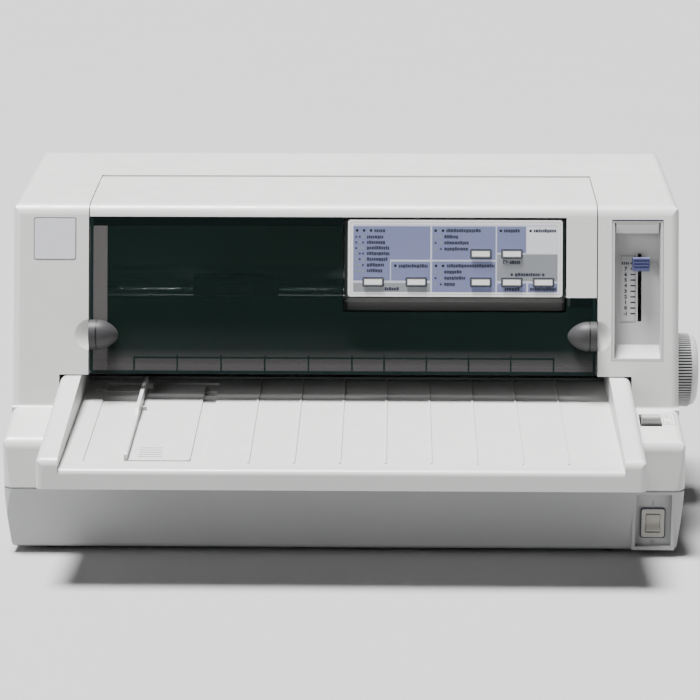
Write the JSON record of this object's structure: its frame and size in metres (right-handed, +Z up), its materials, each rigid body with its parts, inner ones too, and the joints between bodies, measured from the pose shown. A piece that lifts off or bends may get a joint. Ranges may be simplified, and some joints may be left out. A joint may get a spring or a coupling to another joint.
{
  "type": "dot matrix printer",
  "caption": "Wide flatbed dot matrix printer with smoked hinged cover, front sheet tray with edge guide, control panel, platen knob and geared paper feed.",
  "frame": {"origin": "middle of the bounding box in X and Y, at the underside of the feet", "axes": "+Z up, the printer faces -Y, +X to its right as seen from the front"},
  "size_m": [0.505, 0.37, 0.2567],
  "materials": {
    "upper_shell": "satin",
    "base_shell": "satin",
    "tray_shell": "satin",
    "smoked_window": "gloss",
    "panel_dark": "satin",
    "panel_light": "satin",
    "panel_print": "satin",
    "key_caps": "satin",
    "lamp": "gloss",
    "knob_blue": "satin",
    "switch_grey": "satin",
    "rocker_beige": "satin",
    "knob_grey": "satin",
    "sheet_steel": "brushed",
    "shaft_steel": "polished",
    "lever_steel": "satin",
    "bearing_bronze": "satin",
    "black_rubber": "matt",
    "black_plastic": "satin",
    "bed_plastic": "satin",
    "gear_plastic": "satin",
    "motor_can": "satin",
    "head_alloy": "satin",
    "board_green": "satin"
  },
  "bodies": {
    "case": {"lower_case": "base_shell", "rubber_feet": "black_rubber", "upper_case": "upper_shell", "lever_pocket": "knob_grey", "front_tray": "tray_shell", "front_guard": "bed_plastic", "panel_housing": "panel_dark", "panel_bezel": "panel_light", "panel_overlay": "panel_print", "panel_board": "board_green", "panel_leds": "lamp", "switch_bezel": "switch_grey", "side_frames": "sheet_steel", "bottom_frame": "sheet_steel", "tie_bar": "sheet_steel", "paper_bed": "bed_plastic", "platen": "black_rubber", "shaft_bushes": "bearing_bronze", "carriage_motor": "motor_can", "feed_motor": "motor_can", "carriage_belt": "black_rubber", "main_board": "board_green", "power_supply": "sheet_steel", "power_inlet": "black_plastic", "parallel_port": "sheet_steel", "option_cover": "base_shell", "hinge_pins": "shaft_steel", "case_screws": "shaft_steel"},
    "cover": {"cover_frame": "upper_shell", "cover_window": "smoked_window"},
    "font_key": {"button_font": "key_caps"},
    "condensed_key": {"button_condensed": "key_caps"},
    "source_key": {"button_source": "key_caps"},
    "tear_off_key": {"button_tear_off": "key_caps"},
    "pause_key": {"button_pause": "key_caps"},
    "line_feed_key": {"button_line_feed": "key_caps"},
    "load_key": {"button_load": "key_caps"},
    "gap_setting": {"gap_lever": "lever_steel", "gap_lever_knob": "knob_blue", "carriage_shaft": "shaft_steel"},
    "release": {"release_lever": "key_caps"},
    "rocker": {"switch_rocker": "rocker_beige"},
    "rear_roller": {"platen_knob": "knob_grey", "rear_roller_shaft": "shaft_steel", "rear_roller_sleeves": "black_rubber", "rear_roller_gear": "gear_plastic"},
    "front_roller": {"front_roller_shaft": "shaft_steel", "front_roller_sleeves": "black_rubber", "front_roller_gear": "gear_plastic"},
    "idler": {"feed_idler_gear": "gear_plastic"},
    "pinion": {"feed_pinion": "bearing_bronze"},
    "front_pinch": {"front_pinch_rollers": "black_plastic"},
    "rear_pinch": {"rear_pinch_rollers": "black_plastic"},
    "head_carriage": {"carriage": "black_plastic", "print_head": "head_alloy", "ribbon_cartridge": "black_plastic"},
    "motor_pulley": {"motor_pulley": "head_alloy"},
    "idler_pulley": {"idler_pulley": "black_plastic"},
    "sheet_guide": {"edge_guide": "tray_shell"},
    "rear_door": {"rear_cover": "upper_shell"}
  },
  "joints": [
    {"name": "cover_hinge", "type": "hinge", "parent": "case", "child": "cover", "pos_m": [-0.0125, 0.04931, 0.24306], "axis": [-1, 0, 0], "range_deg": [0, 75]},
    {"name": "rear_cover_hinge", "type": "hinge", "parent": "case", "child": "rear_door", "pos_m": [-0.0125, 0.1695, 0.1507], "axis": [1, 0, 0], "range_deg": [0, 85]},
    {"name": "gap_lever_turn", "type": "hinge", "parent": "case", "child": "gap_setting", "pos_m": [-0.0125, 0.06, 0.157], "axis": [1, 0, 0], "range_deg": [0, 21.01]},
    {"name": "release_lever_turn", "type": "hinge", "parent": "case", "child": "release", "pos_m": [0.2058, -0.0743, 0.072], "axis": [-1, 0, 0], "range_deg": [0, 24]},
    {"name": "rocker_turn", "type": "hinge", "parent": "case", "child": "rocker", "pos_m": [0.2058, -0.101, 0.0238], "axis": [1, 0, 0], "range_deg": [0, 14]},
    {"name": "knob_spin", "type": "hinge", "parent": "case", "child": "rear_roller", "pos_m": [-0.0125, 0.058, 0.099], "axis": [1, 0, 0], "continuous": true},
    {"name": "front_roller_spin", "type": "hinge", "parent": "case", "child": "front_roller", "pos_m": [-0.0125, 0.012, 0.099], "axis": [1, 0, 0], "continuous": true},
    {"name": "idler_spin", "type": "hinge", "parent": "case", "child": "idler", "pos_m": [-0.2085, 0.035, 0.099], "axis": [1, 0, 0], "continuous": true},
    {"name": "pinion_spin", "type": "hinge", "parent": "case", "child": "pinion", "pos_m": [-0.2085, 0.035, 0.082], "axis": [1, 0, 0], "continuous": true},
    {"name": "front_pinch_spin", "type": "hinge", "parent": "case", "child": "front_pinch", "pos_m": [-0.0125, 0.012, 0.1133], "axis": [1, 0, 0], "continuous": true},
    {"name": "rear_pinch_spin", "type": "hinge", "parent": "case", "child": "rear_pinch", "pos_m": [-0.0125, 0.058, 0.1133], "axis": [1, 0, 0], "continuous": true},
    {"name": "carriage_slide", "type": "slide", "parent": "case", "child": "head_carriage", "axis": [1, 0, 0], "range_m": [-0.058, 0.228]},
    {"name": "motor_pulley_spin", "type": "hinge", "parent": "case", "child": "motor_pulley", "pos_m": [0.1525, 0.09, 0.14], "axis": [0, 0, 1], "continuous": true},
    {"name": "idler_pulley_spin", "type": "hinge", "parent": "case", "child": "idler_pulley", "pos_m": [-0.1775, 0.09, 0.14], "axis": [0, 0, 1], "continuous": true},
    {"name": "edge_guide_slide", "type": "slide", "parent": "case", "child": "sheet_guide", "axis": [1, 0, 0], "range_m": [-0.027, 0.009]},
    {"name": "font_press", "type": "slide", "parent": "case", "child": "font_key", "axis": [0, 0.9781, -0.2079], "range_m": [0, 0.0012], "stiffness_N_per_m": 400, "springref_m": -0.0008},
    {"name": "condensed_press", "type": "slide", "parent": "case", "child": "condensed_key", "axis": [0, 0.9781, -0.2079], "range_m": [0, 0.0012], "stiffness_N_per_m": 400, "springref_m": -0.0008},
    {"name": "source_press", "type": "slide", "parent": "case", "child": "source_key", "axis": [0, 0.9781, -0.2079], "range_m": [0, 0.0012], "stiffness_N_per_m": 400, "springref_m": -0.0008},
    {"name": "tear_off_press", "type": "slide", "parent": "case", "child": "tear_off_key", "axis": [0, 0.9781, -0.2079], "range_m": [0, 0.0012], "stiffness_N_per_m": 400, "springref_m": -0.0008},
    {"name": "pause_press", "type": "slide", "parent": "case", "child": "pause_key", "axis": [0, 0.9781, -0.2079], "range_m": [0, 0.0012], "stiffness_N_per_m": 400, "springref_m": -0.0008},
    {"name": "line_feed_press", "type": "slide", "parent": "case", "child": "line_feed_key", "axis": [0, 0.9781, -0.2079], "range_m": [0, 0.0012], "stiffness_N_per_m": 400, "springref_m": -0.0008},
    {"name": "load_press", "type": "slide", "parent": "case", "child": "load_key", "axis": [0, 0.9781, -0.2079], "range_m": [0, 0.0012], "stiffness_N_per_m": 400, "springref_m": -0.0008}
  ],
  "couplings": [
    {"joint": "front_roller_spin", "follows": "knob_spin", "ratio": 1},
    {"joint": "idler_spin", "follows": "knob_spin", "ratio": -1.0909},
    {"joint": "pinion_spin", "follows": "knob_spin", "ratio": 2},
    {"joint": "front_pinch_spin", "follows": "knob_spin", "ratio": -1.3333},
    {"joint": "rear_pinch_spin", "follows": "knob_spin", "ratio": -1.3333},
    {"joint": "motor_pulley_spin", "follows": "carriage_slide", "rad_per_m": 125},
    {"joint": "idler_pulley_spin", "follows": "carriage_slide", "rad_per_m": 125}
  ]
}
